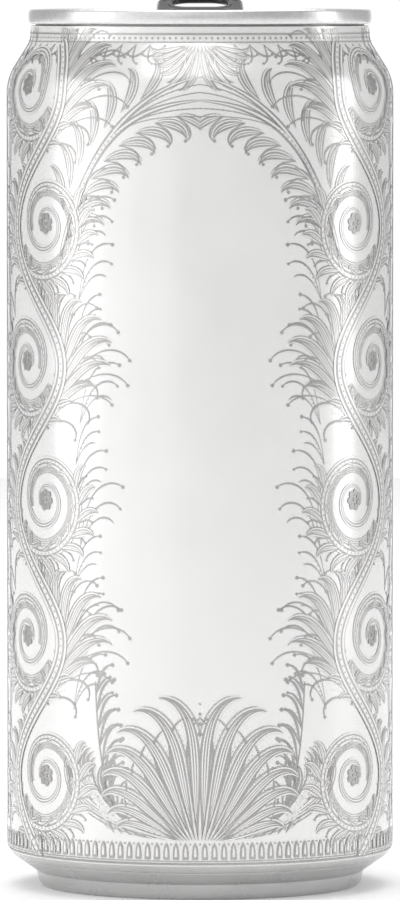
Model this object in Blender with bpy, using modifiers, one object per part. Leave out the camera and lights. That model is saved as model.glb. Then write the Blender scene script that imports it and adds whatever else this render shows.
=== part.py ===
"""A shut drink can: a drawn body, an end seamed on its neck, and a black tab riveted to the end.

The can stands on Z = 0, its axis is Z, and the drinking side faces -Y. The tab's nose points
to -Y and its ring, raised a little above the rim, points to +Y.
"""

import math

import bmesh
import bpy
from mathutils import Matrix, Vector

MM = 0.001
SEGMENTS = 64  # flats round every turned shape
MERGE = 0.00001

# Driving dimensions of the can
HEIGHT = 150.2 * MM
BODY_RADIUS = 33.05 * MM
CLEARANCE = 0.3 * MM  # between pieces that meet

# Neck, from the seam down to the wall
NECK_RADIUS = 28.92 * MM
NECK_CORNER = HEIGHT - 5.2 * MM
NECK_BEND = 4.2 * MM
NECK_SLOPE = math.radians(32)  # from the vertical
SHOULDER_BEND = 9.1 * MM

# Base, from the wall down to the stand ring and up into the dome
CHIME_TOP = 6.0 * MM
CHIME_SLOPE = math.radians(56)  # from the vertical
CHIME_BEND = 3.4 * MM
RING_RADIUS = 28.1 * MM
RING_BEND = 0.4 * MM
RING_FOOT_RADIUS = 27.5 * MM
NOSE_BEND = 1.3 * MM
STAND_WIDTH = 0.5 * MM  # the flat that the can rests on
INNER_BEND = 0.9 * MM
INNER_WALL_TOP = 3.4 * MM
DOME_EDGE_RADIUS = 24.4 * MM
DOME_HEIGHT = 10.8 * MM

# Double seam round the rim
SEAM_RADIUS = 29.42 * MM
SEAM_INNER_RADIUS = 28.15 * MM
SEAM_HEIGHT = 2.5 * MM
SEAM_BEND = 0.6 * MM

# End, with depths below the rim's top
CHUCK_WALL_SLOPE = math.radians(14)
COUNTERSINK_DEPTH = 6.4 * MM
COUNTERSINK_WIDTH = 1.3 * MM
PANEL_DEPTH = 3.6 * MM
POCKET_DEPTH = 4.2 * MM
PANEL_BEND = 0.5 * MM
PLUG_WALL = 0.5 * MM  # metal outside the chuck wall
PLUG_FLOOR_DEPTH = 6.9 * MM

# Rivet, formed out of the end, with heights above the pocket's floor
BOSS_RADIUS = 4.3 * MM
BOSS_FOOT_RADIUS = 5.0 * MM
BOSS_HEIGHT = 1.2 * MM
STEM_RADIUS = 1.5 * MM
HEAD_RADIUS = 2.6 * MM
HEAD_HEIGHT = 0.55 * MM
RIVET_SUNK = 0.3 * MM  # how far its foot runs into the panel

# Drinking panel and relief of the end
MOUTH_CENTRE_Y = -12.6 * MM
MOUTH_HALF_WIDTH = 10.6 * MM
MOUTH_HALF_LENGTH = 8.2 * MM
SCORE_RADIUS = 0.16 * MM
SCORE_GAP = math.radians(34)  # left whole beside the rivet, as the flap's hinge
BEAD_INSET = 3.0 * MM
BEAD_RADIUS = 0.45 * MM
BEAD_SPAN = math.radians(230)
POCKET_FRONT_Y = -11.2 * MM
POCKET_FRONT_RADIUS = 12.2 * MM
POCKET_REAR_Y = 12.4 * MM
POCKET_REAR_RADIUS = 9.4 * MM
WELL_Y = 15.6 * MM
WELL_HALF_WIDTH = 5.6 * MM
WELL_HALF_LENGTH = 3.6 * MM
WELL_DEPTH = 0.45 * MM
DIMPLE_X = 16.5 * MM
DIMPLE_RADIUS = 1.1 * MM
DIMPLE_HEIGHT = 0.35 * MM

# Tab, along Y before it is tilted
TAB_TILT = math.radians(12)
TAB_NOSE_Y = -7.1 * MM
TAB_HEEL_Y = 17.2 * MM
TAB_NOSE_HALF_WIDTH = 7.8 * MM
TAB_HEEL_HALF_WIDTH = 7.3 * MM
TAB_CORNER = 5.6 * MM
TAB_NOSE_CORNER = 4.6 * MM
FRAME_THICKNESS = 1.3 * MM
FRAME_LIFT = 0.05 * MM  # of the frame's middle over the web's
FRAME_BEND = 0.42 * MM
HINGE_Y = -3.6 * MM
RIM_WIDTH = 2.5 * MM
RING_HOLE_NEAR_Y = 7.8 * MM
RING_HOLE_FAR_Y = 14.6 * MM
RING_HOLE_HALF_WIDTH = 4.65 * MM
WINDOW_NEAR_Y = -4.9 * MM
WINDOW_FAR_Y = 6.1 * MM
WINDOW_HALF_WIDTH = 5.0 * MM
WEB_THICKNESS = 0.45 * MM
WEB_OVERLAP = 0.6 * MM
SLOT_NEAR_Y = -3.2 * MM
SLOT_FAR_Y = 4.5 * MM
SLOT_HALF_WIDTH = 3.7 * MM
TONGUE_NEAR_Y = -4.5 * MM
TONGUE_FAR_Y = 3.7 * MM
TONGUE_HALF_WIDTH = 3.0 * MM
RIVET_HOLE_RADIUS = 1.85 * MM

POCKET_FLOOR = HEIGHT - POCKET_DEPTH
TONGUE_BOTTOM = POCKET_FLOOR + BOSS_HEIGHT + CLEARANCE
TONGUE_MIDDLE = TONGUE_BOTTOM + WEB_THICKNESS / 2
HEAD_BOTTOM = TONGUE_BOTTOM + WEB_THICKNESS + CLEARANCE


def clear_scene():
    for obj in list(bpy.data.objects):
        bpy.data.objects.remove(obj, do_unlink=True)


def collection(name):
    made = bpy.data.collections.new(name)
    bpy.context.scene.collection.children.link(made)
    return made


def material(name, colour, metallic, roughness):
    made = bpy.data.materials.new(name)
    made.use_nodes = True
    shader = made.node_tree.nodes["Principled BSDF"]
    shader.inputs["Base Color"].default_value = (*colour, 1.0)
    shader.inputs["Metallic"].default_value = metallic
    shader.inputs["Roughness"].default_value = roughness
    return made


def filleted(corners):
    """Points along a polyline of (x, y, bend radius, steps), with each corner rounded to its radius."""
    points = []
    for i, (x, y, bend, steps) in enumerate(corners):
        here = Vector((x, y))
        if not bend:
            points.append(here)
            continue
        before = Vector(corners[i - 1][:2])
        after = Vector(corners[(i + 1) % len(corners)][:2])
        inward = (before - here).normalized()
        outward = (after - here).normalized()
        half = inward.angle(outward) / 2
        middle = here + (inward + outward).normalized() * bend / math.sin(half)
        start = here + inward * bend / math.tan(half)
        end = here + outward * bend / math.tan(half)
        turn = (start - middle).angle_signed(end - middle)
        for k in range(steps + 1):
            points.append(middle + rotated(start - middle, turn * k / steps))
    return points


def rotated(vector, clockwise):
    """A 2D vector turned the way that Vector.angle_signed counts, which is clockwise."""
    c = math.cos(-clockwise)
    s = math.sin(-clockwise)
    return Vector((vector.x * c - vector.y * s, vector.x * s + vector.y * c))


def turned(name, profile, into, finish=None, segments=SEGMENTS):
    """A solid of revolution about Z. The profile runs from the axis, over the top and down the outside."""
    mesh = bpy.data.meshes.new(name)
    edges = [(i, i + 1) for i in range(len(profile) - 1)]
    mesh.from_pydata([(p.x, 0.0, p.y) for p in profile], edges, [])
    obj = bpy.data.objects.new(name, mesh)
    into.objects.link(obj)
    screw = obj.modifiers.new("Screw", "SCREW")
    screw.axis = "Z"
    screw.angle = math.tau
    screw.steps = segments
    screw.render_steps = segments
    screw.use_merge_vertices = True
    screw.merge_threshold = MERGE
    screw.use_smooth_shade = True
    if finish:
        mesh.materials.append(finish)
    return obj


def outline_curve(name, loops, thickness, into, bend=0.0):
    """A flat plate in XY, centred on Z = 0. The first loop is its outline and the others are holes."""
    curve = bpy.data.curves.new(name, "CURVE")
    curve.dimensions = "2D"
    curve.fill_mode = "BOTH"
    curve.extrude = thickness / 2 - bend
    curve.bevel_depth = bend
    curve.bevel_resolution = 1
    curve.offset = -bend
    for loop in loops:
        spline = curve.splines.new("POLY")
        spline.points.add(len(loop) - 1)
        for point, place in zip(spline.points, loop):
            point.co = (place.x, place.y, 0.0, 1.0)
        spline.use_cyclic_u = True
    obj = bpy.data.objects.new(name, curve)
    into.objects.link(obj)
    return obj


def as_mesh(obj, finish=None):
    """Replaces a curve object by a closed mesh object with the same name and place."""
    bpy.context.view_layer.update()
    graph = bpy.context.evaluated_depsgraph_get()
    mesh = bpy.data.meshes.new_from_object(obj.evaluated_get(graph))
    work = bmesh.new()
    work.from_mesh(mesh)
    bmesh.ops.remove_doubles(work, verts=work.verts, dist=MERGE / 10)
    bmesh.ops.recalc_face_normals(work, faces=work.faces)
    work.to_mesh(mesh)
    work.free()
    name = obj.name
    home = obj.users_collection[0]
    matrix = obj.matrix_world.copy()
    old = obj.data
    bpy.data.objects.remove(obj)
    bpy.data.curves.remove(old)
    made = bpy.data.objects.new(name, mesh)
    made.matrix_world = matrix
    home.objects.link(made)
    mesh.materials.clear()
    if finish:
        mesh.materials.append(finish)
    return made


def boolean(obj, operation, other):
    other.hide_render = True
    other.display_type = "WIRE"
    modifier = obj.modifiers.new(operation.title() + " " + other.name, "BOOLEAN")
    modifier.operation = operation
    modifier.solver = "EXACT"
    modifier.object = other


def ellipse(centre_y, half_width, half_length, start=0.0, span=math.tau, count=40):
    """Points of an ellipse, or of a part of it. Angle 0 is at +Y."""
    whole = abs(span - math.tau) < 1e-6
    steps = count if whole else count - 1
    points = []
    for k in range(count):
        angle = start + span * k / steps
        points.append(Vector((-half_width * math.sin(angle), centre_y + half_length * math.cos(angle))))
    return points


def rounded_box(near_y, far_y, near_half_width, far_half_width, near_corner, far_corner, steps=7):
    """A loop round a box with rounded corners, narrower at one end."""
    return filleted(
        [
            (near_half_width, near_y, near_corner, steps),
            (far_half_width, far_y, far_corner, steps),
            (-far_half_width, far_y, far_corner, steps),
            (-near_half_width, near_y, near_corner, steps),
        ]
    )


def round_two_circles(near_y, near_radius, far_y, far_radius, steps=18):
    """The outline of a belt round two circles on the Y axis."""
    lean = math.asin((near_radius - far_radius) / (far_y - near_y))
    points = []
    for k in range(steps + 1):
        angle = lean + (math.pi - 2 * lean) * k / steps
        points.append(Vector((far_radius * math.cos(angle), far_y + far_radius * math.sin(angle))))
    for k in range(steps + 1):
        angle = math.pi - lean + (math.pi + 2 * lean) * k / steps
        points.append(Vector((near_radius * math.cos(angle), near_y + near_radius * math.sin(angle))))
    return points


def body_profile():
    """From the floor under the end, over the neck and down the wall, to the middle of the dome."""
    plug_floor = HEIGHT - PLUG_FLOOR_DEPTH - CLEARANCE
    neck_top = HEIGHT - SEAM_HEIGHT - CLEARANCE
    plug_top_radius = plug_radius_at(neck_top) + CLEARANCE
    plug_floor_radius = plug_radius_at(plug_floor) + CLEARANCE
    shoulder_corner = NECK_CORNER - (BODY_RADIUS - NECK_RADIUS) / math.tan(NECK_SLOPE)
    chime_low = CHIME_TOP - (BODY_RADIUS - RING_RADIUS) / math.tan(CHIME_SLOPE)
    stand_outer = RING_FOOT_RADIUS - NOSE_BEND
    stand_inner = stand_outer - STAND_WIDTH
    inner_wall = stand_inner - INNER_BEND
    corners = [
        (0.0, plug_floor, 0.0, 0),
        (plug_floor_radius, plug_floor, 0.0, 0),
        (plug_top_radius, neck_top, 0.0, 0),
        (NECK_RADIUS, neck_top, 0.0, 0),
        (NECK_RADIUS, NECK_CORNER, NECK_BEND, 4),
        (BODY_RADIUS, shoulder_corner, SHOULDER_BEND, 6),
        (BODY_RADIUS, CHIME_TOP, CHIME_BEND, 5),
        (RING_RADIUS, chime_low, RING_BEND, 2),
        (RING_FOOT_RADIUS, 0.0, NOSE_BEND, 4),
        (stand_inner - INNER_BEND, 0.0, INNER_BEND, 3),
        (inner_wall, INNER_WALL_TOP, 0.6 * MM, 2),
    ]
    points = filleted(corners + [(DOME_EDGE_RADIUS, INNER_WALL_TOP + 0.5 * MM, 0.0, 0)])
    rise = DOME_HEIGHT - points[-1].y
    sphere = (DOME_EDGE_RADIUS**2 + rise**2) / (2 * rise)
    reach = math.asin(DOME_EDGE_RADIUS / sphere)
    steps = 7
    for k in range(1, steps + 1):
        angle = reach * (1 - k / steps)
        points.append(Vector((sphere * math.sin(angle), DOME_HEIGHT - sphere * (1 - math.cos(angle)))))
    return points


def chuck_radius_at(z):
    """Inner radius of the end's sloping wall."""
    return SEAM_INNER_RADIUS - (HEIGHT - SEAM_BEND - z) * math.tan(CHUCK_WALL_SLOPE)


def plug_radius_at(z):
    return chuck_radius_at(z) + PLUG_WALL


def rivet_profile():
    """From the middle of the head, down the stem and the boss, to a foot sunk in the panel."""
    boss_top = POCKET_FLOOR + BOSS_HEIGHT
    head_top = HEAD_BOTTOM + HEAD_HEIGHT
    sunk = POCKET_FLOOR - RIVET_SUNK
    corners = [
        (0.0, head_top, 0.0, 0),
        (HEAD_RADIUS, head_top, 0.4 * MM, 2),
        (HEAD_RADIUS, HEAD_BOTTOM, 0.0, 0),
        (STEM_RADIUS, HEAD_BOTTOM, 0.0, 0),
        (STEM_RADIUS, boss_top, 0.0, 0),
        (BOSS_RADIUS, boss_top, 0.2 * MM, 1),
        (BOSS_FOOT_RADIUS, sunk, 0.0, 0),
        (0.0, sunk, 0.0, 0),
    ]
    return filleted(corners)


def end_profile():
    """From the middle of the panel, over the seam and back under the end to the axis."""
    panel = HEIGHT - PANEL_DEPTH
    floor = HEIGHT - COUNTERSINK_DEPTH
    seam_low = HEIGHT - SEAM_HEIGHT
    outer_foot = chuck_radius_at(floor)
    panel_foot = outer_foot - COUNTERSINK_WIDTH
    under = HEIGHT - PLUG_FLOOR_DEPTH
    corners = [
        (0.0, panel, 0.0, 0),
        (panel_foot - 0.3 * MM, panel, PANEL_BEND, 3),
        (panel_foot, floor, COUNTERSINK_WIDTH / 2 * 0.8, 4),
        (outer_foot, floor, COUNTERSINK_WIDTH / 2 * 0.8, 4),
        (SEAM_INNER_RADIUS, HEIGHT, SEAM_BEND, 4),
        (SEAM_RADIUS, HEIGHT, SEAM_BEND, 4),
        (SEAM_RADIUS, seam_low, 0.35 * MM, 2),
        (plug_radius_at(seam_low), seam_low, 0.0, 0),
        (plug_radius_at(under), under, 0.0, 0),
        (0.0, under, 0.0, 0),
    ]
    return filleted(corners)


def at_height(obj, z):
    obj.location.z = z
    return obj


def pocket_cutter(cutters):
    """The sunk field round the drinking panel and the tab."""
    outline = round_two_circles(POCKET_FRONT_Y, POCKET_FRONT_RADIUS, POCKET_REAR_Y, POCKET_REAR_RADIUS)
    depth = POCKET_DEPTH - PANEL_DEPTH
    above = 0.4 * MM
    plate = outline_curve("pocket_cutter", [outline], depth + above, cutters)
    return as_mesh(at_height(plate, POCKET_FLOOR + (depth + above) / 2))


def tube(name, points, radius, z, into):
    """A closed-ended round bar that follows points on a level."""
    curve = bpy.data.curves.new(name, "CURVE")
    curve.dimensions = "3D"
    curve.bevel_depth = radius
    curve.bevel_resolution = 1
    curve.use_fill_caps = True
    spline = curve.splines.new("POLY")
    spline.points.add(len(points) - 1)
    for point, place in zip(spline.points, points):
        point.co = (place.x, place.y, 0.0, 1.0)
    obj = bpy.data.objects.new(name, curve)
    into.objects.link(obj)
    return as_mesh(at_height(obj, z))


def score_cutter(cutters):
    """The scored line that the drinking panel tears along, open beside the rivet."""
    points = ellipse(
        MOUTH_CENTRE_Y,
        MOUTH_HALF_WIDTH,
        MOUTH_HALF_LENGTH,
        start=SCORE_GAP / 2,
        span=math.tau - SCORE_GAP,
        count=44,
    )
    return tube("score_cutter", points, SCORE_RADIUS, POCKET_FLOOR + SCORE_RADIUS / 3, cutters)


def bead_piece(cutters):
    """The stiffening bead raised on the drinking panel."""
    points = ellipse(
        MOUTH_CENTRE_Y,
        MOUTH_HALF_WIDTH - BEAD_INSET,
        MOUTH_HALF_LENGTH - BEAD_INSET,
        start=math.pi - BEAD_SPAN / 2,
        span=BEAD_SPAN,
        count=22,
    )
    return tube("bead_piece", points, BEAD_RADIUS, POCKET_FLOOR - BEAD_RADIUS / 4, cutters)


def well_cutter(cutters):
    """The shallow well that leaves room for a fingertip under the ring."""
    loop = ellipse(WELL_Y, WELL_HALF_WIDTH, WELL_HALF_LENGTH, count=28)
    above = 0.2 * MM
    plate = outline_curve("well_cutter", [loop], WELL_DEPTH + above, cutters)
    return as_mesh(at_height(plate, POCKET_FLOOR + (above - WELL_DEPTH) / 2))


def dimple_piece(side, cutters):
    """A small dome pressed up beside the tab."""
    work = bmesh.new()
    bmesh.ops.create_uvsphere(work, u_segments=12, v_segments=8, radius=DIMPLE_RADIUS)
    mesh = bpy.data.meshes.new("dimple")
    work.to_mesh(mesh)
    work.free()
    obj = bpy.data.objects.new("dimple_" + ("right" if side > 0 else "left"), mesh)
    obj.location = (side * DIMPLE_X, 0.0, HEIGHT - PANEL_DEPTH - DIMPLE_RADIUS + DIMPLE_HEIGHT)
    cutters.objects.link(obj)
    return obj


def build_body(into):
    white = material("white_print", (0.84, 0.84, 0.83), 0.1, 0.32)
    return turned("can_body", body_profile(), into, white)


def build_end(into, cutters):
    silver = material("bare_aluminium", (0.78, 0.78, 0.78), 1.0, 0.3)
    end = turned("can_end", end_profile(), into, silver)
    boolean(end, "DIFFERENCE", pocket_cutter(cutters))
    boolean(end, "DIFFERENCE", well_cutter(cutters))
    boolean(end, "DIFFERENCE", score_cutter(cutters))
    boolean(end, "UNION", turned("rivet_piece", rivet_profile(), cutters, segments=32))
    boolean(end, "UNION", bead_piece(cutters))
    for side in (1, -1):
        boolean(end, "UNION", dimple_piece(side, cutters))
    return end


def build_tab(into, cutters):
    """The frame with its ring and the web tilt up together. The tongue on the rivet stays level."""
    black = material("black_tab", (0.012, 0.012, 0.012), 0.4, 0.22)
    tilt = (
        Matrix.Translation((0.0, HINGE_Y, TONGUE_MIDDLE))
        @ Matrix.Rotation(TAB_TILT, 4, "X")
        @ Matrix.Translation((0.0, -HINGE_Y, 0.0))
    )
    outer = rounded_box(
        TAB_NOSE_Y,
        TAB_HEEL_Y,
        TAB_NOSE_HALF_WIDTH,
        TAB_HEEL_HALF_WIDTH,
        TAB_NOSE_CORNER,
        TAB_CORNER,
    )
    ring_hole = rounded_box(
        RING_HOLE_NEAR_Y,
        RING_HOLE_FAR_Y,
        RING_HOLE_HALF_WIDTH,
        RING_HOLE_HALF_WIDTH,
        2.4 * MM,
        TAB_CORNER - RIM_WIDTH,
        steps=5,
    )
    window = rounded_box(
        WINDOW_NEAR_Y,
        WINDOW_FAR_Y,
        WINDOW_HALF_WIDTH,
        WINDOW_HALF_WIDTH,
        2.4 * MM,
        1.6 * MM,
        steps=4,
    )
    frame = outline_curve("pull_tab", [outer, ring_hole, window], FRAME_THICKNESS, into, FRAME_BEND)
    frame.matrix_world = tilt @ Matrix.Translation((0.0, 0.0, FRAME_LIFT))
    frame = as_mesh(frame, black)

    sheet = rounded_box(
        WINDOW_NEAR_Y - WEB_OVERLAP,
        WINDOW_FAR_Y + WEB_OVERLAP,
        WINDOW_HALF_WIDTH + WEB_OVERLAP,
        WINDOW_HALF_WIDTH + WEB_OVERLAP,
        2.6 * MM,
        1.8 * MM,
        steps=3,
    )
    slot = rounded_box(
        SLOT_NEAR_Y,
        SLOT_FAR_Y,
        SLOT_HALF_WIDTH,
        SLOT_HALF_WIDTH,
        0.5 * MM,
        3.5 * MM,
        steps=5,
    )
    web = outline_curve("web_piece", [sheet, slot], WEB_THICKNESS, cutters)
    web.matrix_world = tilt
    web = as_mesh(web)

    strip = rounded_box(
        TONGUE_NEAR_Y,
        TONGUE_FAR_Y,
        TONGUE_HALF_WIDTH,
        TONGUE_HALF_WIDTH,
        0.4 * MM,
        2.8 * MM,
        steps=5,
    )
    hole = ellipse(0.0, RIVET_HOLE_RADIUS, RIVET_HOLE_RADIUS, count=24)
    tongue = outline_curve("tongue_piece", [strip, hole], WEB_THICKNESS, cutters)
    tongue = as_mesh(at_height(tongue, TONGUE_MIDDLE))

    boolean(frame, "UNION", web)
    boolean(frame, "UNION", tongue)
    return frame


def main():
    clear_scene()
    can = collection("drink_can")
    cutters = collection("cutters")
    build_body(can)
    build_end(can, cutters)
    build_tab(can, cutters)


main()
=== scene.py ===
"""Looks of the drink can: white lacquer with a silver scroll ornament, a bare base and end, a black tab."""

import math

import bmesh
import bpy
import numpy as np
from mathutils import Matrix, Vector


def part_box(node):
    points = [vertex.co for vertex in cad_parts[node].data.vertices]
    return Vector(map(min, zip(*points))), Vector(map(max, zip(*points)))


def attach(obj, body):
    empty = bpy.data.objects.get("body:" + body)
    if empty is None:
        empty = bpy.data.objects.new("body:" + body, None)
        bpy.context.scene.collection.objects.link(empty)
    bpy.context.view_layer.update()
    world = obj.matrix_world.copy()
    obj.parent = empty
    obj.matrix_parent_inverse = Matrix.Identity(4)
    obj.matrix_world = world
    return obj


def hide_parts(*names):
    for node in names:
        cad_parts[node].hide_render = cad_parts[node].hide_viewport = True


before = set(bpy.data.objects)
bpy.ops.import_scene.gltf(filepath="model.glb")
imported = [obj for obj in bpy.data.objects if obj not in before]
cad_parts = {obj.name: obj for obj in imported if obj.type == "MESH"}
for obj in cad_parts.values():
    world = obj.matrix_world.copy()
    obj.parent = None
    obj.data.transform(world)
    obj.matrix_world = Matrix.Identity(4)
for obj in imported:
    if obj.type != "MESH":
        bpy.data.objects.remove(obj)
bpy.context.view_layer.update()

BODY_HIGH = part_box("can_body")[1]
END_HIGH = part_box("can_end")[1]

MM = 0.001
BODY = "root"
SEGMENTS = 360  # flats round the turned surfaces

# Sizes of the solids that the looks follow
HEIGHT = END_HIGH[2]
BODY_RADIUS = BODY_HIGH[0]
SEAM_RADIUS = END_HIGH[0]
SEAM_HEIGHT = 2.5 * MM
SEAM_BEND = 0.6 * MM
SEAM_INNER_RADIUS = 28.15 * MM
CLEARANCE = 0.3 * MM
NECK_RADIUS = 28.92 * MM
NECK_CORNER = HEIGHT - 5.2 * MM
NECK_BEND = 4.2 * MM
NECK_SLOPE = math.radians(32)
SHOULDER_BEND = 9.1 * MM
CHIME_TOP = 6.0 * MM
CHIME_SLOPE = math.radians(56)
CHIME_BEND = 3.4 * MM
RING_RADIUS = 28.1 * MM
RING_BEND = 0.4 * MM
RING_FOOT_RADIUS = 27.5 * MM
NOSE_BEND = 1.3 * MM
STAND_WIDTH = 0.5 * MM
INNER_BEND = 0.9 * MM
INNER_WALL_TOP = 3.4 * MM
DOME_EDGE_RADIUS = 24.4 * MM
DOME_HEIGHT = 10.8 * MM
CHUCK_WALL_SLOPE = math.radians(14)
COUNTERSINK_DEPTH = 6.4 * MM
COUNTERSINK_WIDTH = 1.3 * MM
PANEL_DEPTH = 3.6 * MM
POCKET_DEPTH = 4.2 * MM
PANEL_BEND = 0.5 * MM
PLUG_WALL = 0.5 * MM
PLUG_FLOOR_DEPTH = 6.9 * MM
POCKET_FLOOR = HEIGHT - POCKET_DEPTH
PRINT_EDGE = 6.2 * MM
PRINT_OVERLAP = 2.0 * MM
LACQUER_STEP = 0.03 * MM
GROOVE_WIDTH = 0.55 * MM
GROOVE_DEPTH = 0.09 * MM
GROOVE_STEPS = 10
SEAM_BULGE = 0.13 * MM
PRINT_LIFT = 0.016 * MM
COAT_STEP = 0.006 * MM
SMALLEST_FACE = 1e-12  # twice the area, in square metres, under which a cut strip's face is left out
POCKET_EDGE = 0.9 * MM
POCKET_FRONT_Y = -11.2 * MM
POCKET_FRONT_RADIUS = 12.2 * MM
POCKET_REAR_Y = 12.4 * MM
POCKET_REAR_RADIUS = 9.4 * MM
END_RING_STEP = 0.2 * MM
END_SEGMENTS = 420

# Relief of the end
MOUTH_CENTRE_Y = -12.6 * MM
MOUTH_HALF_WIDTH = 10.6 * MM
MOUTH_HALF_LENGTH = 8.2 * MM
SCORE_GAP = math.radians(34)
SCORE_DEPTH = 0.16 * MM
SCORE_WIDTH = 0.17 * MM
FOLD_INSET = 1.1 * MM
FOLD_HEIGHT = 0.1 * MM
FOLD_WIDTH = 0.4 * MM
BEAD_INSET = 3.0 * MM
BEAD_SPAN = math.radians(230)
BEAD_HEIGHT = 0.34 * MM
BEAD_WIDTH = 0.45 * MM
WELL_Y = 15.6 * MM
WELL_HALF_WIDTH = 5.6 * MM
WELL_HALF_LENGTH = 3.6 * MM
WELL_DEPTH = 0.45 * MM
WELL_EDGE = 1.6 * MM
DIMPLE_X = 16.5 * MM
DIMPLE_WIDTH = 0.8 * MM
DIMPLE_HEIGHT = 0.35 * MM
BOSS_RADIUS = 4.3 * MM
BOSS_FOOT_RADIUS = 5.0 * MM
BOSS_HEIGHT = 1.2 * MM
STEM_RADIUS = 1.5 * MM
HEAD_RADIUS = 2.6 * MM
HEAD_HEIGHT = 0.55 * MM

# Tab, along Y before it is tilted
TAB_TILT = math.radians(12)
TAB_NOSE_Y = -7.1 * MM
TAB_HEEL_Y = 17.2 * MM
TAB_NOSE_HALF_WIDTH = 7.8 * MM
TAB_HEEL_HALF_WIDTH = 7.3 * MM
TAB_CORNER = 5.6 * MM
TAB_NOSE_CORNER = 4.6 * MM
FRAME_THICKNESS = 1.3 * MM
FRAME_LIFT = 0.05 * MM
HINGE_Y = -3.6 * MM
RIM_WIDTH = 2.5 * MM
RING_HOLE_NEAR_Y = 7.8 * MM
RING_HOLE_FAR_Y = 14.6 * MM
RING_HOLE_HALF_WIDTH = 4.65 * MM
WINDOW_NEAR_Y = -4.9 * MM
WINDOW_FAR_Y = 6.1 * MM
WINDOW_HALF_WIDTH = 5.0 * MM
WEB_THICKNESS = 0.45 * MM
WEB_OVERLAP = 0.6 * MM
SLOT_NEAR_Y = -3.2 * MM
SLOT_FAR_Y = 4.5 * MM
SLOT_HALF_WIDTH = 3.7 * MM
TONGUE_NEAR_Y = -4.5 * MM
TONGUE_FAR_Y = 3.7 * MM
TONGUE_HALF_WIDTH = 3.0 * MM
RIVET_HOLE_RADIUS = 1.85 * MM
TONGUE_BOTTOM = POCKET_FLOOR + BOSS_HEIGHT + CLEARANCE
TONGUE_MIDDLE = TONGUE_BOTTOM + WEB_THICKNESS / 2
HEAD_BOTTOM = TONGUE_BOTTOM + WEB_THICKNESS + CLEARANCE

# Camera, from the photo's perspective: the can stands a metre and a half away, seen from just above its rim
CAMERA_DISTANCE = 1.5
CAMERA_HEIGHT = 0.1573
CAMERA_PITCH = math.radians(3.1535)
FOCAL_PIXELS = 8757.0
FRAME_HEIGHT_PIXELS = 900.0
SENSOR = 36.0


def collection(name):
    made = bpy.data.collections.new(name)
    bpy.context.scene.collection.children.link(made)
    return made


CAN = collection("drink_can_looks")
STUDIO = collection("studio")


def filleted(corners):
    """Points along a polyline of (x, y, bend radius, steps), with each corner rounded to its radius."""
    points = []
    for i, (x, y, bend, steps) in enumerate(corners):
        here = Vector((x, y))
        if not bend:
            points.append(here)
            continue
        before = Vector(corners[i - 1][:2])
        after = Vector(corners[(i + 1) % len(corners)][:2])
        inward = (before - here).normalized()
        outward = (after - here).normalized()
        half = inward.angle(outward) / 2
        middle = here + (inward + outward).normalized() * bend / math.sin(half)
        start = here + inward * bend / math.tan(half)
        end = here + outward * bend / math.tan(half)
        turn = -(start - middle).angle_signed(end - middle)
        for k in range(steps + 1):
            arm = Matrix.Rotation(turn * k / steps, 2) @ (start - middle)
            points.append(middle + arm)
    return points


def mesh_object(name, vertices, faces, finish, sharp=math.radians(35)):
    """A smooth-shaded mesh piece that rides on the can."""
    mesh = bpy.data.meshes.new(name)
    mesh.from_pydata(vertices, [], faces)
    mesh.validate()
    mesh.shade_smooth()
    if sharp:
        mesh.set_sharp_from_angle(angle=sharp)
    mesh.materials.append(finish)
    obj = bpy.data.objects.new(name, mesh)
    CAN.objects.link(obj)
    return obj


def turned(name, profile, finish, segments=SEGMENTS):
    """A closed solid of revolution. The profile starts on the axis and goes over the top, down and back."""
    ring = np.arange(segments) * math.tau / segments
    cos, sin = np.cos(ring), np.sin(ring)
    vertices = []
    starts = []
    for p in profile:
        starts.append(len(vertices))
        if p.x < 1e-7:
            vertices.append((0.0, 0.0, p.y))
        else:
            vertices.extend(zip(p.x * cos, p.x * sin, [p.y] * segments))
    faces = []
    for i in range(len(profile) - 1):
        upper_is_pole = profile[i].x < 1e-7
        lower_is_pole = profile[i + 1].x < 1e-7
        a, b = starts[i], starts[i + 1]
        for k in range(segments):
            n = (k + 1) % segments
            if upper_is_pole:
                faces.append((a, b + k, b + n))
            elif lower_is_pole:
                faces.append((a + k, b, a + n))
            else:
                faces.append((a + k, b + k, b + n, a + n))
    return mesh_object(name, vertices, faces, finish)


def dress(obj, slot, *nodes):
    """Says what carries the piece and which solids it stands for. The slot is not used."""
    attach(obj, BODY)
    if nodes:
        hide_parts(*nodes)
    return obj


# Materials


def new_material(name):
    made = bpy.data.materials.new(name)
    made.use_nodes = True
    nodes = made.node_tree.nodes
    return made, nodes, made.node_tree.links, nodes["Principled BSDF"]


def add_noise(nodes, links, scale, detail, stretch=(1.0, 1.0, 1.0)):
    """A noise texture in object space, stretched along an axis by a small scale there."""
    place = nodes.new("ShaderNodeTexCoord")
    mapping = nodes.new("ShaderNodeMapping")
    mapping.inputs["Scale"].default_value = stretch
    noise = nodes.new("ShaderNodeTexNoise")
    noise.inputs["Scale"].default_value = scale
    noise.inputs["Detail"].default_value = detail
    links.new(place.outputs["Object"], mapping.inputs["Vector"])
    links.new(mapping.outputs["Vector"], noise.inputs["Vector"])
    return noise


def add_range(nodes, links, source, low, high):
    """Maps a noise's middle stretch to the range from low to high."""
    spread = nodes.new("ShaderNodeMapRange")
    spread.inputs["From Min"].default_value = 0.3
    spread.inputs["From Max"].default_value = 0.7
    spread.inputs["To Min"].default_value = low
    spread.inputs["To Max"].default_value = high
    links.new(source, spread.inputs["Value"])
    return spread.outputs["Result"]


def add_tint(nodes, links, source, dark, light):
    """A colour between two, by a noise."""
    ramp = nodes.new("ShaderNodeValToRGB")
    ramp.color_ramp.elements[0].position = 0.3
    ramp.color_ramp.elements[1].position = 0.7
    ramp.color_ramp.elements[0].color = (*dark, 1.0)
    ramp.color_ramp.elements[1].color = (*light, 1.0)
    links.new(source, ramp.inputs["Fac"])
    return ramp.outputs["Color"]


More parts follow.
